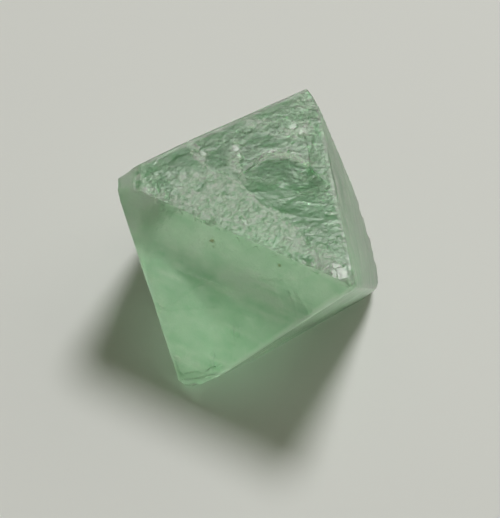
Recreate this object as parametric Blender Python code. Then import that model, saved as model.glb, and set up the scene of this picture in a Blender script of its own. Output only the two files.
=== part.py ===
# Fluorite octahedron: one green crystal, cleaved by hand along its eight octahedral planes.
# It lies on one triangular face, with the opposite face level on top.
# Metres, +Z up, origin under the middle of the crystal's box on the surface that it lies on.
# +X runs along the long front edge of the top face, and the front face leans towards -Y.

import math

import bmesh
import bpy
from mathutils import Quaternion, Vector, noise

mm = 0.001

# Driving dimensions.
edge_length = 20.0 * mm
cleavage_height = edge_length * math.sqrt(2.0 / 3.0)
corner_radius = edge_length / math.sqrt(3.0)

# A hand-cleaved crystal is never quite regular: each corner stands a little off its ideal place.
# name: (angle round the vertical axis in degrees, height share, shift in x, shift in y)
corners = {
    "top_left": (210.0, 1.0, 0.0, 0.35 * mm),
    "top_right": (330.0, 1.0, 0.0, 0.0),
    "top_back": (90.0, 1.0, -0.4 * mm, -1.15 * mm),
    "foot_front": (270.0, 0.0, -0.1 * mm, 0.0),
    "foot_right": (30.0, 0.0, 0.1 * mm, 0.2 * mm),
    "foot_left": (150.0, 0.0, 0.0, 0.0),
}

# Edges that bow out a little between their two corners, where the cleavage strayed.
# (from, to, share of the way along, how far out)
back_bow = ("top_back", "foot_right", 0.45, 0.55 * mm)
bowed_edges = (
    ("top_left", "top_back", 0.40, 0.28 * mm),
    ("top_back", "foot_right", 0.20, 0.30 * mm),
    back_bow,
    ("top_back", "foot_right", 0.80, 0.60 * mm),
    ("top_left", "foot_left", 0.55, 0.20 * mm),
)

# Worn edges. An edge flatter than the least angle is only a crease in a face and stays sharp.
edge_wear = 0.16 * mm
edge_wear_segments = 2
least_worn_angle = math.radians(30.0)

# How far each corner is broken back from its tip, and how the broken plane leans.
# (corner, depth, vector added to the outward direction)
broken_corners = (
    ("top_left", 0.75 * mm, (-0.10, -0.10, -0.10)),
    ("top_left", 1.25 * mm, (0.10, 0.10, 0.60)),
    ("top_right", 0.50 * mm, (0.10, 0.00, 0.10)),
    ("top_back", 0.60 * mm, (-0.10, 0.25, 0.00)),
    ("top_back", 0.85 * mm, (0.75, 0.10, -0.25)),
    ("foot_front", 1.40 * mm, (0.40, 0.08, 0.02)),
    ("foot_right", 0.70 * mm, (0.00, 0.00, 0.10)),
    ("foot_right", 0.95 * mm, (0.25, -0.50, 0.30)),
    ("foot_left", 0.90 * mm, (0.10, 0.10, 0.20)),
)

# The top broke roughly across the cleavage, so it is hackly; the other faces are true.
flake_spacing = 0.9 * mm
least_scored_slope = 0.4
hackle_depth = 0.26 * mm
hackle_step_share = 0.6
hackle_scale = 2.0 * mm
hackle_step_scale = 1.2 * mm
hackle_seed = Vector((3.1, 7.4, 1.9))
hackle_fade = 0.45 * mm

# Small chips knocked off the back edge of the right-hand side, near the foot.
# (share of the way from the foot to the bow, depth, block size, turn in degrees)
chips = (
    (0.14, 0.42 * mm, 0.9 * mm, 25.0),
    (0.33, 0.30 * mm, 1.6 * mm, 35.0),
)

crystal_colour = (0.18, 0.42, 0.24, 1.0)
crystal_roughness = 0.2
crystal_transmission = 0.8
fluorite_ior = 1.434


def clear_scene():
    for old in list(bpy.data.objects):
        bpy.data.objects.remove(old, do_unlink=True)


def corner_point(name):
    angle, height_share, shift_x, shift_y = corners[name]
    turn = math.radians(angle)
    return Vector((
        corner_radius * math.cos(turn) + shift_x,
        corner_radius * math.sin(turn) + shift_y,
        cleavage_height * height_share,
    ))


def crystal_centre():
    return Vector((0.0, 0.0, cleavage_height / 2.0))


def outward_from_centre(point):
    return (point - crystal_centre()).normalized()


def bowed_point(start, end, share, distance):
    point = corner_point(start).lerp(corner_point(end), share)
    point += outward_from_centre(point) * distance
    point.z = min(point.z, cleavage_height)
    return point


def cleaved_octahedron(bm):
    points = [corner_point(name) for name in corners]
    points += [bowed_point(*bow) for bow in bowed_edges]
    tips = [bm.verts.new(point) for point in points]
    bmesh.ops.convex_hull(bm, input=tips)


def wear_edges(bm):
    worn = [edge for edge in bm.edges if edge.calc_face_angle() > least_worn_angle]
    bmesh.ops.bevel(
        bm, geom=worn, affect="EDGES", offset=edge_wear, offset_type="OFFSET",
        segments=edge_wear_segments, profile=0.5, material=-1, clamp_overlap=True)


def cut_and_cap(bm, point, normal):
    # Everything on the outer side of the plane goes, and the opening is filled flat.
    everything = bm.verts[:] + bm.edges[:] + bm.faces[:]
    cut = bmesh.ops.bisect_plane(
        bm, geom=everything, plane_co=point, plane_no=normal, clear_outer=True, dist=1e-9)
    rim = [item for item in cut["geom_cut"] if isinstance(item, bmesh.types.BMEdge)]
    bmesh.ops.contextual_create(bm, geom=rim)


def break_corners(bm):
    for name, depth, lean in broken_corners:
        tip = corner_point(name)
        outward = outward_from_centre(tip)
        normal = (outward + Vector(lean)).normalized()
        cut_and_cap(bm, tip - outward * depth, normal)


def score_top(bm):
    # The top and its worn rim are scored along three cleavage directions, and break into flakes.
    lines = math.ceil(corner_radius / flake_spacing)
    for turn in (90.0, 210.0, 330.0):
        across = Vector((math.cos(math.radians(turn)), math.sin(math.radians(turn)), 0.0))
        for line in range(-lines, lines + 1):
            faces = [face for face in bm.faces if face.normal.z > least_scored_slope]
            edges = {edge for face in faces for edge in face.edges}
            verts = {vert for face in faces for vert in face.verts}
            bmesh.ops.bisect_plane(
                bm, geom=list(verts) + list(edges) + faces, dist=1e-8,
                plane_co=across * (line * flake_spacing), plane_no=across)


def hackle_drop(point):
    # A step where one broken flake ends and the next begins, and a slow swell under them.
    step = noise.cell(point / hackle_step_scale + hackle_seed)
    swell = 0.5 + 0.5 * noise.noise(point / hackle_scale + hackle_seed)
    return hackle_depth * (hackle_step_share * step + (1.0 - hackle_step_share) * swell)


def roughen_top(bm):
    fade_start = cleavage_height - hackle_fade
    for vert in bm.verts:
        share = (vert.co.z - fade_start) / hackle_fade
        if share > 0.0:
            vert.co.z -= share * hackle_drop(vert.co)


def stand_on_origin(bm):
    # The origin goes under the middle of the crystal's box. Returns the move that was made.
    xs = [vert.co.x for vert in bm.verts]
    ys = [vert.co.y for vert in bm.verts]
    move = Vector((-(min(xs) + max(xs)) / 2.0, -(min(ys) + max(ys)) / 2.0, 0.0))
    bmesh.ops.translate(bm, verts=bm.verts[:], vec=move)
    return move


def fluorite_material():
    material = bpy.data.materials.new("green_fluorite")
    material.use_nodes = True
    shader = material.node_tree.nodes["Principled BSDF"]
    shader.inputs["Base Color"].default_value = crystal_colour
    shader.inputs["Roughness"].default_value = crystal_roughness
    shader.inputs["Metallic"].default_value = 0.0
    shader.inputs["IOR"].default_value = fluorite_ior
    shader.inputs["Transmission Weight"].default_value = crystal_transmission
    return material


def make_crystal():
    bm = bmesh.new()
    cleaved_octahedron(bm)
    wear_edges(bm)
    break_corners(bm)
    bm.normal_update()
    score_top(bm)
    bmesh.ops.triangulate(bm, faces=bm.faces[:])
    roughen_top(bm)
    bmesh.ops.recalc_face_normals(bm, faces=bm.faces[:])
    move = stand_on_origin(bm)
    mesh = bpy.data.meshes.new("fluorite_octahedron")
    bm.to_mesh(mesh)
    bm.free()
    mesh.materials.append(fluorite_material())
    crystal = bpy.data.objects.new("fluorite_octahedron", mesh)
    bpy.context.scene.collection.objects.link(crystal)
    return crystal, move


def make_chip_cutter(name, share, depth, size, turn):
    # A block that stands outside the back edge of the right-hand side and just bites into it.
    foot = corner_point("foot_right")
    place = foot.lerp(bowed_point(*back_bow), share)
    outward = outward_from_centre(place)
    bm = bmesh.new()
    bmesh.ops.create_cube(bm, size=size)
    mesh = bpy.data.meshes.new(name)
    bm.to_mesh(mesh)
    bm.free()
    cutter = bpy.data.objects.new(name, mesh)
    bpy.context.scene.collection.objects.link(cutter)
    cutter.rotation_mode = "QUATERNION"
    face_out = outward.to_track_quat("X", "Z")
    cutter.rotation_quaternion = Quaternion(outward, math.radians(turn)) @ face_out
    cutter.location = place + outward * (size / 2.0 - depth)
    cutter.hide_render = True
    cutter.display_type = "WIRE"
    return cutter


def chip_edge(crystal, move):
    for index, chip in enumerate(chips):
        cutter = make_chip_cutter(f"chip_cutter_{index}", *chip)
        cutter.location += move
        bite = crystal.modifiers.new(f"chip_{index}", "BOOLEAN")
        bite.operation = "DIFFERENCE"
        bite.solver = "EXACT"
        bite.object = cutter


def build():
    clear_scene()
    crystal, move = make_crystal()
    chip_edge(crystal, move)


build()
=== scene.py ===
import math
import random

import bmesh
import bpy
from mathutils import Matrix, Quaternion, Vector, noise


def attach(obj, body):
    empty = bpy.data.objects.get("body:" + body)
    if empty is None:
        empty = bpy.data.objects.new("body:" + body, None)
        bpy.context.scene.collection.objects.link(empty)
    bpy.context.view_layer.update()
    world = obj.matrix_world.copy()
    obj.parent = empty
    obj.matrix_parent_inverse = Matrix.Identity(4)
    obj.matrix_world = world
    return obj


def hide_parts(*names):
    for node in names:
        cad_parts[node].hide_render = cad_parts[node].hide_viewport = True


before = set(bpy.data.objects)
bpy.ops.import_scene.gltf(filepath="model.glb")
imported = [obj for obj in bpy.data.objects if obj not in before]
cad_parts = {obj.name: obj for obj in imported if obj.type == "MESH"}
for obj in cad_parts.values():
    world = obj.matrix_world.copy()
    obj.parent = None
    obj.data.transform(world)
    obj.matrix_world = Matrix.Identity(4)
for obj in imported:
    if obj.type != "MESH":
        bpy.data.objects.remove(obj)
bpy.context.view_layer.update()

mm = 0.001
scene = bpy.context.scene
crystalNode = "fluorite_octahedron"
fluoriteIor = 1.434
veilSeed = 7
reliefSeed = 2


def hexColour(text):
    # An sRGB hex value turned to the linear colour that the shaders use.
    linear = []
    for start in (1, 3, 5):
        value = int(text[start:start + 2], 16) / 255.0
        linear.append(value / 12.92 if value <= 0.04045 else ((value + 0.055) / 1.055) ** 2.4)
    return (*linear, 1.0)


def addNode(tree, kind, settings=None, links=None):
    # Settings are the node's own properties, or its inputs by name or number. Links go into inputs.
    node = tree.nodes.new(kind)
    for name, value in (settings or {}).items():
        if isinstance(name, str) and hasattr(node, name):
            setattr(node, name, value)
        else:
            node.inputs[name].default_value = value
    for name, socket in (links or {}).items():
        tree.links.new(socket, node.inputs[name])
    return node


def newMaterial(name):
    material = bpy.data.materials.new(name)
    material.use_nodes = True
    material.node_tree.nodes.clear()
    return material


def newObject(name, bm, material):
    mesh = bpy.data.meshes.new(name)
    bm.to_mesh(mesh)
    bm.free()
    mesh.materials.append(material)
    made = bpy.data.objects.new(name, mesh)
    scene.collection.objects.link(made)
    return made


def smoothStep(low, high, value):
    share = min(1.0, max(0.0, (value - low) / (high - low)))
    return share * share * (3.0 - 2.0 * share)


def noiseAt(x, y, seed):
    return noise.noise(Vector((x, y, seed)))


def wanderAt(x, y, frequency, seed):
    return noise.noise_vector(Vector((x * frequency, y * frequency, seed)))


# The crystal's form: the same corners, bows and breaks as the solid that it stands for.

crystal = {
    "edge": 20.0 * mm,
    "move": Vector((0.058, 0.456, 0.0)) * mm,   # puts the box's middle over the origin
    "corners": {                                # turn in degrees, height share, shift x, shift y
        "topLeft": (210.0, 1.0, 0.0, 0.35 * mm),
        "topRight": (330.0, 1.0, 0.0, 0.0),
        "topBack": (90.0, 1.0, -0.4 * mm, -1.15 * mm),
        "footFront": (270.0, 0.0, -0.1 * mm, 0.0),
        "footRight": (30.0, 0.0, 0.1 * mm, 0.2 * mm),
        "footLeft": (150.0, 0.0, 0.0, 0.0),
    },
    "bows": (                                   # from, to, share of the way, how far out
        ("topLeft", "topBack", 0.40, 0.28 * mm),
        ("topBack", "footRight", 0.20, 0.30 * mm),
        ("topBack", "footRight", 0.45, 0.55 * mm),
        ("topBack", "footRight", 0.80, 0.60 * mm),
        ("topLeft", "footLeft", 0.55, 0.20 * mm),
    ),
    "breaks": (                                 # corner, depth, lean of the broken plane
        ("topLeft", 0.75 * mm, (-0.10, -0.10, -0.10)),
        ("topLeft", 1.15 * mm, (0.10, 0.10, 0.60)),
        ("topRight", 0.50 * mm, (0.10, 0.00, 0.10)),
        ("topBack", 0.60 * mm, (-0.10, 0.25, 0.00)),
        ("topBack", 0.85 * mm, (0.75, 0.10, -0.25)),
        ("footFront", 1.40 * mm, (0.50, 0.08, 0.02)),
        ("footFront", 0.92 * mm, (1.00, 0.10, 0.00)),
        ("footFront", 1.05 * mm, (-0.25, 0.00, 0.00)),
        ("footRight", 0.70 * mm, (0.00, 0.00, 0.10)),
        ("footRight", 0.95 * mm, (0.25, -0.50, 0.30)),
        ("footLeft", 0.90 * mm, (0.10, 0.10, 0.20)),
    ),
    "chippedBow": 2,                            # which bow the chips run up to
    "chips": (                                  # share of the way up to the bow, reach, depth
        (0.14, 0.75 * mm, 0.40 * mm),
        (0.33, 1.10 * mm, 0.32 * mm),
        (0.52, 0.50 * mm, 0.16 * mm),
        (0.70, 0.60 * mm, 0.14 * mm),
        (0.90, 0.40 * mm, 0.12 * mm),
    ),
    "chipRim": 0.6,                             # share of its reach over which a chip slopes
    # Hackle breaks through these edges, so they aren't worn round.
    "crispEdges": (("topLeft", "topRight"), ("topRight", "topBack")),
    "edgeWear": 0.12 * mm,
    "edgeSegments": 2,
    "leastWornAngle": 30.0,
    "cornerWear": {                             # reach and passes of the rounding at each corner
        "topLeft": (2.0 * mm, 40),
        "topRight": (1.6 * mm, 20),
        "topBack": (1.6 * mm, 30),
        "footFront": (2.2 * mm, 20),
        "footRight": (1.8 * mm, 20),
        "footLeft": (1.8 * mm, 20),
    },
    "wearPerPass": 0.5,
    "cornerLook": (1.0, 0.0, 0.8),              # frost, gloss and grain where a corner broke
    "sharpAngle": 28.0,
    "scoreSpacing": 1.25 * mm,                  # the first, even net of triangles
    "netCuts": 2,                               # cuts of each of its edges everywhere
    "fineCuts": 3,                              # and more on the hackly top and at fine steps
    "hackleReach": 0.3 * mm,                    # how far down from the top its finer net goes
    "faceSlack": 0.05 * mm,                     # a place this near the front's plane is on it
    "footFade": 0.3 * mm,                       # the relief fades out this far above the foot
    "bowSlack": 0.3,                            # a bow's place past a plane counts this much
    "cornerSlack": 0.01 * mm,                   # an edge's end this near a corner is at it
    "cutSlack": 1e-9,                           # a vertex this near a cut is on it
    "scoreSlack": 1e-8,
}
height = crystal["edge"] * math.sqrt(2.0 / 3.0)
centre = Vector((0.0, 0.0, height / 2.0)) + crystal["move"]


def cornerPoint(name):
    turn, share, shiftX, shiftY = crystal["corners"][name]
    radius = crystal["edge"] / math.sqrt(3.0)
    angle = math.radians(turn)
    across = radius * math.cos(angle) + shiftX
    back = radius * math.sin(angle) + shiftY
    return Vector((across, back, height * share)) + crystal["move"]


def outwardFrom(point):
    return (point - centre).normalized()


def bowPoint(start, end, share, distance):
    point = cornerPoint(start).lerp(cornerPoint(end), share)
    return point + outwardFrom(point) * distance


# The eight cleavage faces by their corners, and each one's outward plane.
faceCorners = {
    "top": ("topLeft", "topBack", "topRight"),
    "front": ("topLeft", "topRight", "footFront"),
    "right": ("topRight", "topBack", "footRight"),
    "left": ("topLeft", "topBack", "footLeft"),
    "frontRight": ("topRight", "footFront", "footRight"),
    "frontLeft": ("topLeft", "footFront", "footLeft"),
    "back": ("topBack", "footRight", "footLeft"),
    "bottom": ("footFront", "footRight", "footLeft"),
}


def facePlane(name):
    first, second, third = (cornerPoint(corner) for corner in faceCorners[name])
    normal = (second - first).cross(third - first).normalized()
    if normal.dot(first - centre) < 0.0:
        normal.negate()
    return first, normal


facePlanes = {name: facePlane(name) for name in faceCorners}


def faceAxes(name):
    # A face's own two directions: along its first edge, and down from that edge.
    first, second = (cornerPoint(corner) for corner in faceCorners[name][:2])
    along = (second - first).normalized()
    return first, along, along.cross(facePlanes[name][1]).normalized()


def onFace(name, point):
    first, along, across = faceAxes(name)
    place = (point - first) / mm
    return place.dot(along), place.dot(across)


def underFront(run, reach, depth):
    # The other way round: a place under the front face, with its depth in metres.
    first, along, across = faceAxes("front")
    return first + (along * run + across * reach) * mm - facePlanes["front"][1] * depth


# Relief of the top: it broke roughly, so it is hackly. Places are in mm across the level top.

ledgeEdge = 0.05    # half the width over which any ledge drops, in mm
patchEnd = 2.5      # a soft patch has faded out at this share of its size, squared

topRelief = {
    # The frosted band fills the front of the top up to this line.
    "bandLine": (
        (-9.5, -3.4), (-7.0, -2.9), (-5.3, -2.3), (-4.2, -1.3), (-3.6, -0.8), (-2.0, -0.6),
        (-0.3, -1.2), (1.2, -2.0), (2.7, -1.5), (3.7, -2.1), (5.5, -3.5), (7.0, -4.4), (9.0, -4.9),
    ),
    "bandEdge": 0.25,
    "bandDrop": 0.03,
    "bandSlope": 0.0225,
    "frost": (0.30, 0.30),                              # everywhere, and added in the band
    # Soft patches: x, y, half length, half width, turn in degrees, depth, frost
    "patches": (
        (-5.4, 0.2, 1.3, 0.40, 150.0, -0.03, 0.45),     # a pale streak up from the band
        (-5.0, 0.35, 0.35, 0.25, 0.0, -0.03, 0.5),
        (-6.2, -0.6, 1.8, 0.8, 30.0, 0.03, -0.25),      # clear green beside it
        (-3.9, 0.6, 1.0, 0.8, 60.0, 0.03, -0.20),
        (-2.9, 1.7, 1.0, 0.40, 120.0, -0.02, 0.45),     # pale round the left glint
        (-2.0, 0.2, 1.3, 0.35, 150.0, -0.02, 0.35),
        (0.8, 1.85, 1.8, 0.85, 28.0, 0.0, -0.50),       # the shell-shaped hollow
        (2.3, 1.0, 1.4, 0.6, 30.0, 0.03, -0.50),
        (-6.6, -3.6, 1.8, 0.9, 0.0, 0.0, -0.40),
        (0.8, -0.3, 1.6, 0.7, 20.0, 0.02, -0.25),
        (4.4, -0.6, 2.8, 1.2, 20.0, 0.02, -0.35),
        (3.4, 2.2, 1.4, 0.6, 110.0, 0.02, -0.20),
        (0.5, 5.9, 1.3, 0.75, 50.0, -0.03, 0.45),       # pale at the back
        (-2.5, 5.2, 1.3, 0.5, 30.0, -0.02, 0.20),
        (-1.2, 3.9, 1.4, 0.7, 30.0, 0.05, -0.20),
        (1.9, 7.0, 1.6, 0.45, 120.0, 0.02, -0.20),
        (-0.3, 8.6, 1.1, 0.9, 0.0, 0.0, 0.15),
        (8.3, -4.9, 1.5, 0.75, 160.0, -0.05, 0.75),     # the whitest corner
        (7.0, -4.3, 1.2, 0.6, 130.0, -0.02, 0.35),
        (4.4, -4.0, 0.7, 0.5, 20.0, -0.03, 0.30),
        (3.2, -4.3, 0.9, 0.25, 100.0, 0.05, -0.50),
        (5.6, -4.7, 1.1, 0.35, 10.0, 0.03, -0.35),
        (-3.8, -2.6, 0.6, 0.35, 110.0, 0.05, -0.45),
        (5.9, 0.0, 0.35, 0.2, 20.0, -0.02, 0.6),
    ),
    "basin": ((2.6, 0.9), 4.2, 0.22),                   # the right sags: middle, reach, depth
    # Crests: a line of places, half width, height, frost
    "crests": (
        (((-1.1, 1.4), (-0.8, 2.4), (-0.2, 3.05), (1.0, 3.6), (2.3, 3.55)), 0.22, 0.07, 0.65),
        (((-5.7, 0.0), (-3.7, -1.0), (-2.0, -0.7), (-0.3, -1.3), (1.2, -2.1)), 0.16, 0.05, 0.30),
        (((-3.64, 4.91), (-1.94, 5.6)), 0.10, 0.03, 0.30),
        (((-1.97, 4.56), (-0.48, 4.54)), 0.10, 0.03, 0.30),
        (((1.9, -0.67), (5.8, 0.68)), 0.08, 0.03, 0.25),
        (((3.6, -1.6), (6.4, -0.6)), 0.08, 0.03, 0.25),
        (((6.7, -5.2), (8.2, -4.5), (9.2, -4.9)), 0.16, 0.05, 0.30),
    ),
    # Steps: a line of places, the drop on the left of the way, how far the drop lasts
    "steps": (
        (((2.5, 3.3), (1.9, 3.6), (1.0, 3.6), (-0.2, 3.05), (-0.8, 2.4), (-1.1, 1.4)), 0.24, 2.7),
        (((-0.25, 8.6), (1.0, 6.2), (2.3, 3.8)), 0.018, 1.2),
        (((1.85, 4.7), (2.3, 3.8)), 0.045, 0.5),
        (((-7.4, -2.8), (-6.4, -0.8), (-5.2, 0.9)), 0.02, 1.2),
    ),
    "swell": (4.0, 0.08, 4.0),                          # size, depth, seed
    # Outlines wander: turns in a mm and seed, then how far in mm for each kind of outline
    "coarseWander": (1.1, 7.0),
    "fineWander": (3.1, 9.0),
    "patchWander": (0.40, 0.16),
    "lineWander": 0.12,
    "mirrorWander": 0.22,
    # The front edge crumbled: depth, where the bites start and end to fade, their size, seed
    "rim": (0.16, 0.2, 0.8, 0.7, 51.0),
    # Streaks across the right-hand side
    "streaks": {
        "depth": 0.020,
        "turn": 19.0,
        "long": 1.6,
        "wide": 0.26,
        "fadeIn": (-0.1, 1.9),                          # from the left to the right, in mm
        "lean": 0.3,                                    # how that fade leans
        # Share, finer along, finer across, waver, seed
        "layers": ((1.0, 1.0, 1.0, 0.5, 31.0), (0.5, 2.0, 2.1, 0.0, 37.0)),
        "frost": 0.35,
        "evenHeight": 0.35,                             # higher streaks are clearer than this
    },
    # Flakes: size, steepness, seed, and how strong they are where it is clear, by frost, at most
    "flakes": ((1.0, 0.07, 11.0), (0.50, 0.15, 23.0), (0.24, 0.20, 29.0)),
    "flakeStrength": (0.15, 1.5, 1.2),
    "flakeSink": 0.35,
    "clearGloss": (0.20, 0.1, 0.6),                     # gloss, and the frosts where it fades out
    # Mist: turns in a mm, seed, roughness, how much finer, layers, then frost and more in the band
    "mist": (1.6, 13.0, 0.55, 2.1, 5),
    "mistFrost": (0.20, 0.25),
    # White flecks where the hackle is crushed: size, where they start and fill, frost, seeds
    "flecks": (0.30, -0.1, 0.5, 0.55, 17.0, 19.0),
    "fleckFrosts": (0.25, 0.55),                        # the frosts where they come in
    # Facets that face the lamp: place, half length, half width, turn in degrees, gloss
    "mirrors": (
        (8.80, -4.45, 0.80, 0.55, 70.0, 0.25),
        (8.05, -4.25, 0.50, 0.24, 30.0, 0.20),
        (8.20, -5.00, 0.55, 0.24, 120.0, 0.25),
        (7.40, -4.75, 0.36, 0.16, 80.0, 0.10),
        (-2.95, 1.90, 0.46, 0.26, 110.0, 0.38),
        (-2.45, 1.45, 0.42, 0.14, 150.0, 0.20),
        (-2.00, 0.60, 0.30, 0.12, 160.0, 0.15),
        (-0.10, 6.05, 0.42, 0.22, 40.0, 0.25),
        (0.65, 5.75, 0.36, 0.18, 120.0, 0.20),
        (-0.60, 5.20, 0.28, 0.12, 60.0, 0.15),
        (1.10, 3.80, 0.55, 0.13, 20.0, 0.25),
        (-0.55, 2.95, 0.50, 0.12, 55.0, 0.25),
        (-5.00, 0.35, 0.30, 0.22, 0.0, 0.15),
        (0.55, -3.95, 0.42, 0.22, 150.0, 0.10),
        (1.95, -3.10, 0.36, 0.16, 140.0, 0.05),
        (-1.60, -2.40, 0.34, 0.14, 30.0, 0.05),
        (4.05, -3.60, 0.40, 0.16, 20.0, 0.10),
        (5.30, -2.60, 0.40, 0.12, 20.0, 0.10),
        (-5.60, -3.30, 0.36, 0.16, 20.0, 0.05),
        (5.92, -0.04, 0.26, 0.10, 20.0, 0.20),
    ),
    "mirrorDepth": 0.12,
    "mirrorSlope": (0.090, -0.055),
    "mirrorRipple": 0.012,
    "mirrorEdge": (0.10, 0.75),
}

# How sharp the ledges between flakes are, how far apart their tilts are read, and how uneven
# their heights are.
flakeForm = {"sharpness": 22.0, "spread": 3.7, "offset": 0.3}


def flakeHeight(x, y, size, seed):
    # Small broken planes, each with its own tilt, that meet at little ledges.
    place = Vector((x / size, y / size, seed))
    distances, points = noise.voronoi(place)
    total, weight = 0.0, 0.0
    for distance, point in zip(distances, points):
        share = math.exp(-flakeForm["sharpness"] * (distance - distances[0]))
        tilt = noise.noise_vector(point * flakeForm["spread"])
        slope = tilt.x * (place.x - point.x) + tilt.y * (place.y - point.y)
        total += share * (slope + flakeForm["offset"] * tilt.z)
        weight += share
    return total / weight * size


def lineHeight(line, x):
    for (startX, startY), (endX, endY) in zip(line, line[1:]):
        if x <= endX:
            share = max(0.0, (x - startX) / (endX - startX))
            return startY + (endY - startY) * share
    return line[-1][1]


def awayFromPath(path, x, y):
    # The distance to a line of places, and the same with a sign: over 0 on the left of the way.
    here = Vector((x, y))
    best, side = math.inf, 0.0
    for start, end in zip(path, path[1:]):
        start, end = Vector(start), Vector(end)
        run, offset = end - start, here - start
        share = min(1.0, max(0.0, offset.dot(run) / run.length_squared))
        away = (offset - run * share).length
        if away < best:
            best = away
            side = math.copysign(away, run.x * offset.y - run.y * offset.x)
    return best, side


def ledgeShare(path, lasts, x, y):
    # How much of a ledge's drop is left here: all of it at its foot, none where it has faded out.
    away, side = awayFromPath(path, x, y)
    if away >= lasts:
        return 0.0
    return smoothStep(-ledgeEdge, ledgeEdge, side) * (1.0 - away / lasts)


def patchShare(x, y, patch):
    patchX, patchY, halfLong, halfWide, turn = patch[:5]
    angle = math.radians(turn)
    offX, offY = x - patchX, y - patchY
    run = (offX * math.cos(angle) + offY * math.sin(angle)) / halfLong
    across = (offY * math.cos(angle) - offX * math.sin(angle)) / halfWide
    away = run * run + across * across
    return math.exp(-away * away) if away < patchEnd else 0.0


def streakAt(x, y, waver):
    # How much of the streaks shows here, and how high they stand.
    look = topRelief["streaks"]
    angle = math.radians(look["turn"])
    run = (x * math.cos(angle) + y * math.sin(angle)) / look["long"]
    across = (y * math.cos(angle) - x * math.sin(angle)) / look["wide"]
    streak = 0.0
    for share, finerRun, finerAcross, bend, seed in look["layers"]:
        streak += share * abs(noiseAt(run * finerRun, across * finerAcross + bend * waver, seed))
    return smoothStep(*look["fadeIn"], x + look["lean"] * y), streak


def topLook(point):
    # How deep the top lies under its cleavage plane here, in metres, then frost, gloss and grain.
    look = topRelief
    x, y = point.x / mm, point.y / mm
    coarse = wanderAt(x, y, *look["coarseWander"])
    fine = wanderAt(x, y, *look["fineWander"])
    coarseReach, fineReach = look["patchWander"]
    bentX = x + coarseReach * coarse.x + fineReach * fine.x
    bentY = y + coarseReach * coarse.y + fineReach * fine.y

    # The large forms: a swell, the frosted band, a basin and the crumbled front edge.
    swellSize, swellDepth, seed = look["swell"]
    depth = swellDepth * (0.5 + 0.5 * noiseAt(x / swellSize, y / swellSize, seed))
    inBand = lineHeight(look["bandLine"], bentX) - bentY
    band = smoothStep(-look["bandEdge"], look["bandEdge"], inBand)
    depth += look["bandDrop"] * band + max(0.0, inBand) * look["bandSlope"]
    frost = look["frost"][0] + look["frost"][1] * band
    (basinX, basinY), basinReach, basinDepth = look["basin"]
    basinAway = Vector((bentX - basinX, bentY - basinY)).length / basinReach
    depth += basinDepth * max(0.0, 1.0 - basinAway) * (1.0 - band)
    rimDepth, rimStart, rimReach, rimSize, seed = look["rim"]
    rimAway = y - cornerPoint("topRight").y / mm
    crumble = max(0.0, noiseAt(x / rimSize, seed, 0.0) + 0.5 * fine.z)
    depth += rimDepth * crumble * (1.0 - smoothStep(rimStart, rimReach, rimAway))

    # Patches, crests, steps and streaks.
    for patch in look["patches"]:
        share = patchShare(bentX, bentY, patch)
        depth += patch[5] * share
        frost += patch[6] * share
    wander = look["lineWander"]
    for path, halfWidth, crestHeight, crestFrost in look["crests"]:
        away = awayFromPath(path, x + wander * fine.x, y + wander * fine.y)[0]
        share = math.exp(-(away / halfWidth) ** 2)
        depth -= crestHeight * share
        frost += crestFrost * share
    for path, drop, lasts in look["steps"]:
        depth += drop * ledgeShare(path, lasts, x + wander * coarse.x, y + wander * coarse.y)
    inStreaks, streak = streakAt(x, y, coarse.x)
    inStreaks *= 1.0 - band
    depth += look["streaks"]["depth"] * inStreaks * streak
    frost += look["streaks"]["frost"] * inStreaks * (look["streaks"]["evenHeight"] - streak)

    # Flakes: steep in the band, gentle elsewhere.
    leastStrength, byFrost, mostStrength = look["flakeStrength"]
    strength = min(mostStrength, leastStrength + byFrost * max(0.0, frost))
    for size, steep, seed in look["flakes"]:
        depth += steep * strength * (look["flakeSink"] * size + flakeHeight(x, y, size, seed))
    clearGloss, fadeStart, fadeEnd = look["clearGloss"]
    gloss = clearGloss * (1.0 - smoothStep(fadeStart, fadeEnd, frost))
    grain = frost

    # Mist and crushed white flecks change the frost alone.
    mistTurns, seed, *mistForm = look["mist"]
    mist = noise.fractal(Vector((x * mistTurns, y * mistTurns, seed)), *mistForm)
    frost += (look["mistFrost"][0] + look["mistFrost"][1] * band) * mist
    fleckSize, least, most, white, seed, fineSeed = look["flecks"]
    fleck = noiseAt(x / fleckSize, y / fleckSize, seed)
    fleck += 0.5 * noiseAt(2.0 * x / fleckSize, 2.0 * y / fleckSize, fineSeed)
    frost += white * smoothStep(least, most, fleck) * smoothStep(*look["fleckFrosts"], grain)

    # The facets that catch the lamp lie over all of that.
    wander = look["mirrorWander"]
    slopeX, slopeY = look["mirrorSlope"]
    for mirror in look["mirrors"]:
        share = patchShare(x + wander * fine.x, y + wander * fine.y, mirror)
        if share > 0.0:
            share = smoothStep(*look["mirrorEdge"], share)
            tilt = slopeX * (x - mirror[0]) + slopeY * (y - mirror[1])
            flat = look["mirrorDepth"] + look["mirrorRipple"] * fine.z + tilt
            depth = depth * (1.0 - share) + flat * share
            gloss += (mirror[5] - gloss) * share
            grain *= 1.0 - share
    return max(0.0, depth) * mm, (min(1.0, frost), gloss, grain)


# Relief of the smooth sides: faint waves, and fine cleavage steps that fade in and out.

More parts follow.
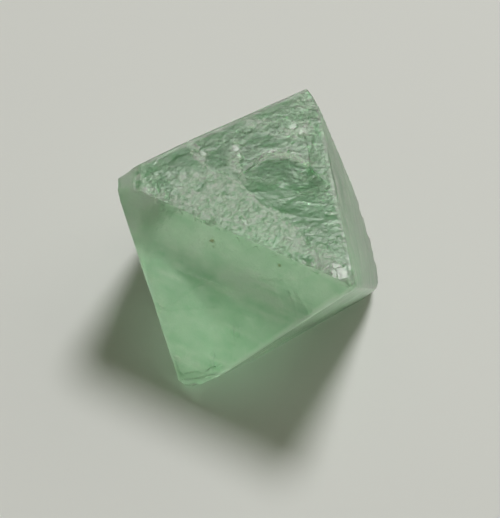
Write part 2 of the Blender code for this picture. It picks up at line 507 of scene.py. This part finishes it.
sideRelief = {
    # name: (wave depth, step depth, step spacing, share that is stepped, seed, frost, gloss), in mm
    "front": (0.010, 0.012, 1.6, 0.25, 1.0, 0.58, 0.40),
    "right": (0.060, 0.090, 0.60, 0.75, 2.0, 0.55, 0.40),
    "left": (0.020, 0.040, 1.1, 0.45, 3.0, 1.10, 0.40),
    "frontRight": (0.020, 0.045, 0.8, 0.50, 4.0, 0.60, 0.40),
    "frontLeft": (0.015, 0.030, 1.3, 0.35, 5.0, 0.60, 0.40),
    "back": (0.020, 0.045, 1.0, 0.50, 6.0, 0.40, 0.40),
    "bottom": (0.0, 0.0, 1.0, 0.0, 7.0, 0.30, 0.40),
}

# What the sides share. Pairs of plain numbers are turns in a mm, along the face and down it.
sidePattern = {
    "waves": (0.3, 0.3),
    "stepPatches": (0.18, 0.35),
    "stepFade": (0.5, 0.9),         # where in those patches the steps come in
    "stepBends": (0.12, 0.5),
    "bendReach": 0.6,               # in steps
    "stepClimb": (0.80, 0.98),      # the part of its spacing in which a step climbs
    "streaks": (0.25, 2.2),
    "streakFrost": 0.45,
    "clouds": (0.7, 0.6, 2.2, 4),   # turns in a mm, roughness, how much finer, layers
    "cloudFrost": 0.25,
    "seedStep": 20.0,               # each pattern reads the noise this much further on
}

# The front face is the smoothest, and shows the haze and the fine steps under it. Its places are
# in mm: how far from the left corner along the top edge, and how far down the face.
frontRelief = {
    # Soft patches: across, down, half length, half width, turn in degrees, depth, frost, dullness
    "patches": (
        (8.2, 2.1, 2.8, 1.5, -25.0, 0.0, 0.24, 0.0),
        (3.7, 2.6, 1.6, 1.2, 0.0, 0.0, -0.20, 0.0),
        (5.0, 5.6, 1.4, 1.1, 60.0, 0.0, -0.18, 0.0),
        (12.6, 4.2, 3.2, 1.5, 12.0, 0.0, 0.45, 0.8),
        (16.4, 1.0, 1.6, 0.7, 0.0, 0.0, 0.12, 0.0),
        (10.1, 10.4, 3.2, 2.4, -60.0, 0.0, 0.12, 0.0),
        (12.5, 7.9, 1.7, 1.0, -40.0, 0.0, 0.10, 0.0),
        (9.4, 14.4, 1.7, 1.4, 0.0, 0.0, 0.05, 0.0),
        (3.0, 1.8, 2.4, 1.6, 80.0, 0.0, 0.50, 1.4),
        (6.08, 9.37, 0.30, 0.16, 60.0, 0.06, 0.60, 0.0),
        (5.68, 9.07, 0.16, 0.12, 0.0, 0.02, 0.50, 0.0),
        (9.32, 14.06, 0.26, 0.18, 0.0, 0.08, 0.60, 0.0),
        (10.19, 13.46, 0.30, 0.16, -20.0, 0.08, 0.50, 0.0),
        (8.56, 13.68, 0.24, 0.16, 60.0, 0.08, 0.60, 0.0),
    ),
    # Steps: places, drop on the left of the way, how far it lasts, frost on that side
    "steps": (
        (((7.08, 5.48), (8.02, 5.39), (8.85, 5.27), (9.77, 5.11)), 0.100, 0.6, 0.0),
        (((9.42, 5.00), (8.30, 6.61), (7.20, 8.49), (6.10, 10.01)), 0.030, 2.2, -0.14),
        (((13.39, 6.56), (11.96, 6.74), (10.39, 7.28), (8.13, 8.74), (6.99, 9.51), (5.61, 9.76)),
         0.030, 1.6, -0.14),
        (((14.78, 1.62), (12.60, 4.26), (10.06, 5.90)), 0.020, 1.2, -0.08),
        (((17.73, -0.60), (15.95, 1.46), (13.82, 2.62), (11.78, 3.48)), 0.020, 0.9, 0.08),
        (((12.22, 8.25), (12.36, 8.95), (12.66, 9.56)), 0.110, 0.3, 0.0),
        (((12.69, 7.98), (12.80, 8.83)), 0.110, 0.3, 0.0),
        (((11.38, 11.63), (11.51, 12.49), (11.71, 12.84)), 0.110, 0.3, 0.0),
        (((8.46, 14.02), (8.90, 14.72), (9.40, 14.92), (10.33, 14.09), (10.96, 13.91),
          (11.32, 13.07), (12.05, 12.45)), 0.120, 0.4, 0.0),
        (((11.87, 13.51), (10.76, 14.50), (9.62, 15.41)), 0.090, 0.5, 0.1),
        (((14.89, 2.04), (15.91, 3.17), (16.89, 4.85)), 0.020, 0.5, 0.05),
        (((15.71, 2.07), (16.88, 3.37), (17.48, 4.02)), 0.020, 0.4, -0.05),
        (((14.10, 2.90), (15.20, 4.10), (15.80, 5.40)), 0.012, 0.4, 0.05),
        (((13.40, 4.40), (14.30, 5.60)), 0.012, 0.4, -0.05),
    ),
    # Outlines wander: turns in a mm and seed, then how far in mm
    "patchWander": (0.5, 90.0),
    "patchWanderReach": 0.7,
    "stepWander": (2.5, 95.0),
    "stepWanderReach": 0.06,
    "fineReach": 0.32,              # the net is finer this near to a step, in mm
}


def frontLook(run, reach):
    look = frontRelief
    bend = wanderAt(run, reach, *look["patchWander"])
    fine = wanderAt(run, reach, *look["stepWander"])
    depth, frost, dull = 0.0, 0.0, 0.0
    for patch in look["patches"]:
        wander = look["patchWanderReach"] * min(1.0, patch[2])
        share = patchShare(run + wander * bend.x, reach + wander * bend.y, patch)
        depth += patch[5] * share
        frost += patch[6] * share
        dull += patch[7] * share
    wander = look["stepWanderReach"]
    for path, drop, lasts, added in look["steps"]:
        share = ledgeShare(path, lasts, run + wander * fine.x, reach + wander * fine.y)
        depth += drop * share
        frost += added * share
    return depth, frost, dull


# How frosted and how glassy a place can be, from least to most.
frostRange = (0.0, 2.0)
glossRange = (-1.0, 1.0)

# Worn edges show paler: the two faces that meet there, and how much frost the wear adds.
edgeFrost = {
    ("top", "right"): 0.25,
    ("front", "frontRight"): 0.45,
    ("right", "frontRight"): 0.35,
    ("right", "back"): 0.45,
    ("top", "left"): 0.10,
    ("front", "frontLeft"): 0.10,
}
# A face's look holds up to the first distance from its plane, and has gone at the second.
faceHold = (0.105 * mm, 0.35 * mm)


def sideLook(name, point):
    waveDepth, stepDepth, spacing, stepped, seed, frost, gloss = sideRelief[name]
    look = sidePattern
    run, reach = onFace(name, point)

    def pattern(turns, place):
        return noiseAt(run * turns[0], reach * turns[1], seed + place * look["seedStep"])

    fadeStart, fadeEnd = look["stepFade"]
    mask = smoothStep(fadeStart - stepped, fadeEnd - stepped, 0.5 + pattern(look["stepPatches"], 1))
    stair = reach / spacing + look["bendReach"] * pattern(look["stepBends"], 2)
    rise = stair - math.floor(stair)
    step = smoothStep(*look["stepClimb"], rise) - rise
    depth = waveDepth * (0.5 + 0.5 * pattern(look["waves"], 0))
    depth += stepDepth * mask * (0.5 + 0.5 * step)
    frost += look["streakFrost"] * pattern(look["streaks"], 3) * mask
    cloudTurns, *cloudForm = look["clouds"]
    clouds = Vector((run * cloudTurns, reach * cloudTurns, seed + 4 * look["seedStep"]))
    frost += look["cloudFrost"] * noise.fractal(clouds, *cloudForm)
    if name == "front":
        sunk, clouded, dulled = frontLook(run, reach)
        depth += sunk
        frost += clouded
        gloss -= dulled
    return depth * mm, (frost, gloss, frost)


def cutAndCap(bm, point, normal):
    everything = bm.verts[:] + bm.edges[:] + bm.faces[:]
    cut = bmesh.ops.bisect_plane(
        bm, geom=everything, plane_co=point, plane_no=normal, clear_outer=True,
        dist=crystal["cutSlack"])
    rim = [item for item in cut["geom_cut"] if isinstance(item, bmesh.types.BMEdge)]
    bmesh.ops.contextual_create(bm, geom=rim)


def onCrispEdge(edge):
    places = [vert.co for vert in edge.verts]
    for names in crystal["crispEdges"]:
        ends = [cornerPoint(name) for name in names]
        away = [min((place - end).length for end in ends) for place in places]
        if max(away) < crystal["cornerSlack"]:
            return True
    return False


def cleavedForm(bm):
    points = [cornerPoint(name) for name in crystal["corners"]]
    for bow in crystal["bows"]:
        point = bowPoint(*bow)
        point.z = min(point.z, height)
        points.append(point)
    bmesh.ops.convex_hull(bm, input=[bm.verts.new(point) for point in points])
    least = math.radians(crystal["leastWornAngle"])
    worn = [
        edge for edge in bm.edges
        if edge.calc_face_angle() > least and not onCrispEdge(edge)]
    bmesh.ops.bevel(
        bm, geom=worn, affect="EDGES", offset=crystal["edgeWear"], offset_type="OFFSET",
        segments=crystal["edgeSegments"], profile=0.5, material=-1, clamp_overlap=True)
    for name, depth, lean in crystal["breaks"]:
        tip = cornerPoint(name)
        outward = outwardFrom(tip)
        cutAndCap(bm, tip - outward * depth, (outward + Vector(lean)).normalized())


def scoreAlongCleavage(bm):
    # The four cleavage directions cut every face into one even net of triangles.
    spacing = crystal["scoreSpacing"]
    for name in ("top", "front", "right", "left"):
        point, normal = facePlanes[name]
        for line in range(1, math.ceil(height / spacing)):
            bmesh.ops.bisect_plane(
                bm, geom=bm.verts[:] + bm.edges[:] + bm.faces[:], dist=crystal["scoreSlack"],
                plane_co=point - normal * (line * spacing), plane_no=normal)
    bmesh.ops.triangulate(bm, faces=bm.faces[:])


def cutEdges(bm, edges, cuts):
    bmesh.ops.subdivide_edges(bm, edges=edges, cuts=cuts, use_grid_fill=True)
    bmesh.ops.triangulate(bm, faces=bm.faces[:])


def nearFrontStep(edge):
    middle = (edge.verts[0].co + edge.verts[1].co) / 2.0
    point, normal = facePlanes["front"]
    if abs((middle - point).dot(normal)) > crystal["faceSlack"]:
        return False
    place = onFace("front", middle)
    return any(
        awayFromPath(step[0], *place)[0] < frontRelief["fineReach"]
        for step in frontRelief["steps"])


def refineNet(bm):
    cutEdges(bm, bm.edges[:], crystal["netCuts"])
    cutEdges(bm, [edge for edge in bm.edges if nearFrontStep(edge)], crystal["fineCuts"])
    hackleFoot = height - crystal["hackleReach"]
    upper = [edge for edge in bm.edges if min(vert.co.z for vert in edge.verts) > hackleFoot]
    cutEdges(bm, upper, crystal["fineCuts"])


def wearCorners(bm):
    for name, (reach, passes) in crystal["cornerWear"].items():
        tip = cornerPoint(name)
        worn = [vert for vert in bm.verts if (vert.co - tip).length < reach]
        for _ in range(passes):
            bmesh.ops.smooth_vert(
                bm, verts=worn, factor=crystal["wearPerPass"], use_axis_x=True, use_axis_y=True,
                use_axis_z=name.startswith("top"))


def chipPush(place):
    # Small hollows where chips were knocked off the back edge of the right-hand side.
    bow = crystal["bows"][crystal["chippedBow"]]
    foot, top = cornerPoint(bow[1]), bowPoint(*bow)
    push = Vector((0.0, 0.0, 0.0))
    for share, reach, depth in crystal["chips"]:
        middle = foot.lerp(top, share)
        away = (place - middle).length / reach
        if away < 1.0:
            push -= outwardFrom(middle) * depth * smoothStep(0.0, crystal["chipRim"], 1.0 - away)
    return push


def carveRelief(bm):
    # Each vertex is pushed in by the relief of the faces that it lies on or close to.
    layers = [bm.verts.layers.float.new(name) for name in ("frost", "gloss", "grain")]
    for vert in bm.verts:
        place = vert.co.copy()
        push = Vector((0.0, 0.0, 0.0))
        look, weight = Vector((0.0, 0.0, 0.0)), 0.0
        near = {}
        for name, (point, normal) in facePlanes.items():
            away = (place - point).dot(normal)
            # A bowed edge stands out past the plane, but still looks like its face.
            away = crystal["bowSlack"] * away if away > 0.0 else -away
            near[name] = share = 1.0 - smoothStep(*faceHold, away)
            if share > 0.0:
                depth, faceLook = topLook(place) if name == "top" else sideLook(name, place)
                push -= normal * depth * share
                look += Vector(faceLook) * share
                weight += share
        look = look / weight if weight > 0.0 else Vector(crystal["cornerLook"])
        for (one, other), added in edgeFrost.items():
            look.x += added * near[one] * near[other]
        push += chipPush(place)
        if place.z < crystal["footFade"]:
            push *= smoothStep(0.0, crystal["footFade"], place.z)
        vert.co = place + push
        for layer, value in zip(layers, look):
            vert[layer] = min(frostRange[1], max(glossRange[0], value))


fluorite = {
    "frostColour": "#FAFFF5",
    "clearColour": "#9CCCA5",
    "depthColour": "#B0FFC1",
    "depthDensity": 23.0,
    "clearTransmission": 0.89,
    "frostTransmission": 0.55,
    "milkDepth": 3.0 * mm,
    "milkRadius": (0.7, 1.0, 0.75),
    "dullRoughness": 0.61,
    "glassyRoughness": 0.15,
    # Real frost on cleaved fluorite is a few hundredths of a mm across: drawn coarser, to show.
    "grainSize": 0.16 * mm,
    "grainDepth": 0.05 * mm,
    "grainDetail": 3.0,
    "grainRoughness": 0.6,
}


def fluoriteMaterial():
    # Green fluorite, cleaved: clear green depth behind a glassy skin, and milky white where the
    # surface is frosted or crushed. The frost, gloss and grain of each place are on the mesh.
    material = newMaterial("cleaved_green_fluorite")
    tree = material.node_tree
    place = addNode(tree, "ShaderNodeTexCoord")
    frost, gloss, grainShare = (
        addNode(tree, "ShaderNodeAttribute", {"attribute_name": name}).outputs["Fac"]
        for name in ("frost", "gloss", "grain"))
    rough = addNode(tree, "ShaderNodeMapRange", {
        "From Min": glossRange[0], "From Max": glossRange[1],
        "To Min": fluorite["dullRoughness"], "To Max": fluorite["glassyRoughness"],
    }, {"Value": gloss})
    through = addNode(tree, "ShaderNodeMapRange", {
        "From Min": frostRange[0], "From Max": frostRange[1],
        "To Min": fluorite["clearTransmission"], "To Max": fluorite["frostTransmission"],
    }, {"Value": frost})
    colour = addNode(tree, "ShaderNodeMix", {
        "data_type": "RGBA",
        6: hexColour(fluorite["clearColour"]), 7: hexColour(fluorite["frostColour"]),
    }, {0: frost})
    grain = addNode(tree, "ShaderNodeTexNoise", {
        "Scale": 1.0 / fluorite["grainSize"],
        "Detail": fluorite["grainDetail"], "Roughness": fluorite["grainRoughness"],
    }, {"Vector": place.outputs["Object"]})
    bump = addNode(
        tree, "ShaderNodeBump", {"Distance": fluorite["grainDepth"]},
        {"Height": grain.outputs[0], "Strength": grainShare})
    surface = addNode(tree, "ShaderNodeBsdfPrincipled", {
        "IOR": fluoriteIor,
        "Subsurface Weight": 1.0,
        "Subsurface Radius": fluorite["milkRadius"],
        "Subsurface Scale": fluorite["milkDepth"],
    }, {
        "Base Color": colour.outputs[2],
        "Roughness": rough.outputs[0],
        "Transmission Weight": through.outputs[0],
        "Normal": bump.outputs[0],
    })
    depth = addNode(tree, "ShaderNodeVolumeAbsorption", {
        "Color": hexColour(fluorite["depthColour"]), "Density": fluorite["depthDensity"]})
    addNode(tree, "ShaderNodeOutputMaterial", links={
        "Surface": surface.outputs[0], "Volume": depth.outputs[0]})
    return material


def makeCrystal():
    bm = bmesh.new()
    cleavedForm(bm)
    scoreAlongCleavage(bm)
    refineNet(bm)
    wearCorners(bm)
    carveRelief(bm)
    bmesh.ops.recalc_face_normals(bm, faces=bm.faces[:])
    for face in bm.faces:
        face.smooth = True
    sharp = math.radians(crystal["sharpAngle"])
    for edge in bm.edges:
        edge.smooth = edge.calc_face_angle(0.0) < sharp
    print("fluorite_crystal:", len(bm.faces), "triangles")
    piece = newObject("fluorite_crystal", bm, fluoriteMaterial())
    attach(piece, "root")
    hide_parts(crystalNode)


# What is sealed in the crystal, just under its front face: cracks, glints, specks and veils.
# Places are as on the front face, in mm.

# Light goes through a flaw this thin, so it also glows on its shaded side.
flawGlow = {
    "Roughness": 0.6,
    "Subsurface Weight": 1.0,
    "Subsurface Radius": (1.0, 1.0, 0.8),
    "Subsurface Scale": 0.5 * mm,
}
mottleDetail = 2.0

cracks = {
    "depth": 0.15 * mm,
    "paths": (                      # half width, places
        (0.030, ((12.22, 8.25), (12.36, 8.95), (12.66, 9.56))),
        (0.025, ((12.69, 7.98), (12.80, 8.83))),
        (0.030, ((11.38, 11.63), (11.51, 12.49), (11.71, 12.84))),
        (0.030, ((8.46, 14.02), (8.90, 14.72), (9.40, 14.92), (10.33, 14.09), (10.96, 13.91))),
        (0.025, ((10.96, 13.91), (11.32, 13.07), (12.05, 12.45))),
        (0.025, ((9.62, 15.41), (10.76, 14.50), (11.87, 13.51))),
        (0.050, ((6.26, 5.33), (6.38, 5.33))),
        (0.050, ((11.00, 4.66), (11.45, 4.62))),
        (0.025, ((14.40, 3.60), (15.30, 5.20))),
        (0.025, ((15.30, 2.90), (16.30, 4.30))),
    ),
    "colours": ("#3F6B45", "#8DB890"),
    "mottleSize": 0.4 * mm,
    "finish": {"Roughness": 0.5, "IOR": fluoriteIor},
}

glints = {
    "depth": 0.15 * mm,
    "paths": (
        (0.035, ((9.76, 7.53), (10.10, 7.44), (10.47, 7.44))),
        (0.020, ((7.10, 5.44), (7.90, 5.37), (8.60, 5.28))),
        (0.040, ((6.05, 9.30), (6.15, 9.50))),
        (0.040, ((9.25, 14.00), (9.40, 14.15))),
        (0.035, ((8.50, 13.60), (8.62, 13.75))),
    ),
    # These white colours are a painted glint: the light such a crack throws back.
    "colours": ("#DDF2DA", "#FFFFFF"),
    "mottleSize": 0.4 * mm,
    "finish": flawGlow,
}

specks = {
    "depth": 0.10 * mm,
    "places": (                     # across, down, reach, how far stretched, turn
        (8.74, 1.66, 0.13, 1.7, 110.0),
        (8.98, 2.05, 0.07, 1.3, 40.0),
        (14.14, 1.13, 0.10, 1.4, 60.0),
        (6.30, 5.33, 0.09, 1.2, 20.0),
        (11.23, 4.64, 0.10, 1.6, 10.0),
        (5.60, 8.60, 0.06, 1.4, 0.0),
    ),
    "lumps": (1.3, 0.45),           # how many in a reach, and their height
    "colours": ("#BFC48A", "#DAD8AA"),
    "mottleSize": 0.15 * mm,
    "finish": flawGlow,
}

veils = {
    "sheets": (                     # across, down, half length, half width, depth, bubbles, size
        (3.6, 1.7, 0.7, 1.6, 0.5, 500, 1.5),
        (8.4, 2.6, 2.8, 1.3, 0.9, 260, 1.0),
        (12.4, 5.4, 2.4, 0.8, 1.8, 160, 1.0),
        (9.6, 12.0, 1.6, 0.9, 0.6, 120, 1.0),
    ),
    "bubble": (0.012, 0.034),
    "bend": (0.6, 0.35),            # turns in a mm, and how far in mm
    "lean": 0.12,
    "colours": ("#A9D4AE", "#F2FAEE"),
    "mottleSize": 0.5 * mm,
    "finish": flawGlow,
}


def sealedMaterial(name, flaw):
    # Mottled from its first colour to its second, as such flaws are never one even colour.
    material = newMaterial(name)
    tree = material.node_tree
    place = addNode(tree, "ShaderNodeTexCoord")
    mottle = addNode(
        tree, "ShaderNodeTexNoise", {"Scale": 1.0 / flaw["mottleSize"], "Detail": mottleDetail},
        {"Vector": place.outputs["Object"]})
    dark, light = flaw["colours"]
    colour = addNode(
        tree, "ShaderNodeMix", {"data_type": "RGBA", 6: hexColour(dark), 7: hexColour(light)},
        {0: mottle.outputs[0]})
    surface = addNode(
        tree, "ShaderNodeBsdfPrincipled", flaw["finish"], {"Base Color": colour.outputs[2]})
    addNode(tree, "ShaderNodeOutputMaterial", links={"Surface": surface.outputs[0]})
    return material


def finishSealed(name, bm, material):
    bmesh.ops.recalc_face_normals(bm, faces=bm.faces[:])
    print(name + ":", len(bm.faces), "faces")
    piece = newObject(name, bm, material)
    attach(piece, "root")


def addSliver(bm, start, end, halfWidth):
    along = (end - start).normalized()
    across = along.cross(facePlanes["front"][1]).normalized()
    depth = along.cross(across)
    ring = []
    for middle in (start, end):
        for offset in (across, -across, depth, -depth):
            ring.append(bm.verts.new(middle + offset * halfWidth))
    bmesh.ops.convex_hull(bm, input=ring)


def makeSlivers(name, flaw, material):
    bm = bmesh.new()
    for halfWidth, path in flaw["paths"]:
        places = [underFront(run, reach, flaw["depth"]) for run, reach in path]
        for start, end in zip(places, places[1:]):
            addSliver(bm, start, end, halfWidth * mm)
    finishSealed(name, bm, material)


def makeCracks():
    # Cleavage cracks, coloured dark: thin dark green lines.
    material = sealedMaterial("dark_cleavage_crack", cracks)
    makeSlivers("sealed_cracks", cracks, material)


def makeGlints():
    # Cleavage cracks with air in them: short lines painted white, a painted glint where such a
    # crack would catch the light.
    material = sealedMaterial("crack_with_painted_glint", glints)
    makeSlivers("sealed_glints", glints, material)


def makeSpecks():
    # Clay caught as the crystal grew, stained by iron: small yellow-brown lumps.
    bm = bmesh.new()
    normal = facePlanes["front"][1]
    lumpsInReach, lumpHeight = specks["lumps"]
    for run, reach, size, stretch, turn in specks["places"]:
        made = bmesh.ops.create_icosphere(bm, subdivisions=3, radius=size * mm)
        for vert in made["verts"]:
            lump = noise.noise(vert.co / (size * mm) * lumpsInReach + Vector((run, reach, turn)))
            vert.co *= 1.0 + lumpHeight * lump
            vert.co.x *= stretch
        facing = Quaternion(normal, math.radians(turn)) @ normal.to_track_quat("Z", "X")
        bmesh.ops.rotate(bm, verts=made["verts"], matrix=facing.to_matrix())
        middle = underFront(run, reach, specks["depth"] + size * mm)
        bmesh.ops.translate(bm, verts=made["verts"], vec=middle)
    finishSealed("sealed_specks", bm, sealedMaterial("iron_stained_clay_speck", specks))


def makeVeils():
    # Healed fractures: curved sheets of fine bubbles, which show as pale haze.
    bm = bmesh.new()
    least, most = veils["bubble"]
    bendTurns, bendReach = veils["bend"]
    for middleRun, middleReach, halfLong, halfWide, depth, bubbles, scale in veils["sheets"]:
        for _ in range(bubbles):
            turn, share = random.uniform(0.0, math.tau), math.sqrt(random.random())
            run, reach = halfLong * share * math.cos(turn), halfWide * share * math.sin(turn)
            bend = bendReach * noiseAt(run * bendTurns, reach * bendTurns, depth)
            under = (depth + bend + veils["lean"] * reach) * mm
            size = random.uniform(least, most) * scale * mm
            made = bmesh.ops.create_icosphere(bm, subdivisions=1, radius=size)
            middle = underFront(middleRun + run, middleReach + reach, under)
            bmesh.ops.translate(bm, verts=made["verts"], vec=middle)
    finishSealed("healed_fracture_veils", bm, sealedMaterial("healed_fracture_bubbles", veils))


# The stage: a sheet of pale paper, one soft lamp behind the crystal, a weak fill and a dim room.

paper = {
    "size": 1.2,
    "gap": 0.03 * mm,               # the crystal's foot stays clear of the sheet
    "colour": "#E2E4E1",
    "roughness": 0.9,
}

lamp = {
    "away": Vector((-0.02, 0.485, 1.0)),
    "aim": Vector((0.55, -0.25, 0.0)),
    "distance": 0.9,
    "size": 0.27,
    "power": 5.8,
    "colour": "#FFFCFD",
}

fill = {
    "away": Vector((0.30, 0.55, 0.75)),
    "aim": Vector((0.0, 0.0, 0.0)),
    "distance": 0.8,
    "size": 0.72,
    "power": 0.62,
    "colour": "#FFFFF0",
}

room = {
    "colour": "#FAFFDC",
    "strength": 0.13,
}

# All light is dimmed by as much as the exposure lifts it, so that bright glints aren't cut short.
exposure = 4.0
dimmer = 0.5 ** exposure


def makePaper():
    # Uncoated paper: matt, and a little grey.
    bm = bmesh.new()
    bmesh.ops.create_grid(bm, x_segments=1, y_segments=1, size=paper["size"] / 2.0)
    bmesh.ops.translate(bm, verts=bm.verts[:], vec=(0.0, 0.0, -paper["gap"]))
    material = newMaterial("uncoated_paper")
    surface = addNode(material.node_tree, "ShaderNodeBsdfPrincipled", {
        "Base Color": hexColour(paper["colour"]), "Roughness": paper["roughness"]})
    addNode(material.node_tree, "ShaderNodeOutputMaterial", links={"Surface": surface.outputs[0]})
    newObject("paper", bm, material)
    print("paper: laid")


def addLamp(name, values):
    light = bpy.data.lights.new(name, "AREA")
    light.shape = "DISK"
    light.size = values["size"]
    light.energy = values["power"] * dimmer
    light.color = hexColour(values["colour"])[:3]
    holder = bpy.data.objects.new(name, light)
    scene.collection.objects.link(holder)
    holder.location = centre + values["away"].normalized() * values["distance"]
    holder.rotation_mode = "QUATERNION"
    aim = centre + values["aim"] - holder.location
    holder.rotation_quaternion = aim.to_track_quat("-Z", "Y")


def makeLight():
    addLamp("lamp", lamp)
    addLamp("fill", fill)
    world = bpy.data.worlds.new("room")
    world.use_nodes = True
    world.node_tree.nodes.clear()
    glow = addNode(world.node_tree, "ShaderNodeBackground", {
        "Color": hexColour(room["colour"]), "Strength": room["strength"] * dimmer})
    addNode(world.node_tree, "ShaderNodeOutputWorld", links={"Surface": glow.outputs[0]})
    scene.world = world
    scene.view_settings.view_transform = "Standard"
    scene.view_settings.exposure = exposure
    print("light: lamp, fill and room")


# The camera looks down on the crystal from the front right, turned a little.

view = {
    "azimuth": 18.52,
    "elevation": 55.88,
    "roll": 8.25,
    "distance": 104.3 * mm,
    "target": Vector((0.345, -0.873, 7.244)) * mm,
    "focal": 90.35,
    "sensor": 36.0,
    "clipStart": 5.0 * mm,
}


def makeCamera():
    azimuth, elevation = math.radians(view["azimuth"]), math.radians(view["elevation"])
    away = Vector((
        math.sin(azimuth) * math.cos(elevation),
        -math.cos(azimuth) * math.cos(elevation),
        math.sin(elevation)))
    camera = bpy.data.cameras.new("camera")
    camera.lens = view["focal"]
    camera.sensor_width = view["sensor"]
    camera.clip_start = view["clipStart"]
    holder = bpy.data.objects.new("camera", camera)
    scene.collection.objects.link(holder)
    holder.location = view["target"] + away * view["distance"]
    holder.rotation_mode = "QUATERNION"
    level = (-away).to_track_quat("-Z", "Y")
    holder.rotation_quaternion = level @ Quaternion((0.0, 0.0, 1.0), math.radians(view["roll"]))
    scene.camera = holder
    print("camera: set")


random.seed(veilSeed)
noise.seed_set(reliefSeed)    # unseeded, the vector noise would change with every run
makeCrystal()
makeCracks()
makeGlints()
makeSpecks()
makeVeils()
makePaper()
makeLight()
makeCamera()
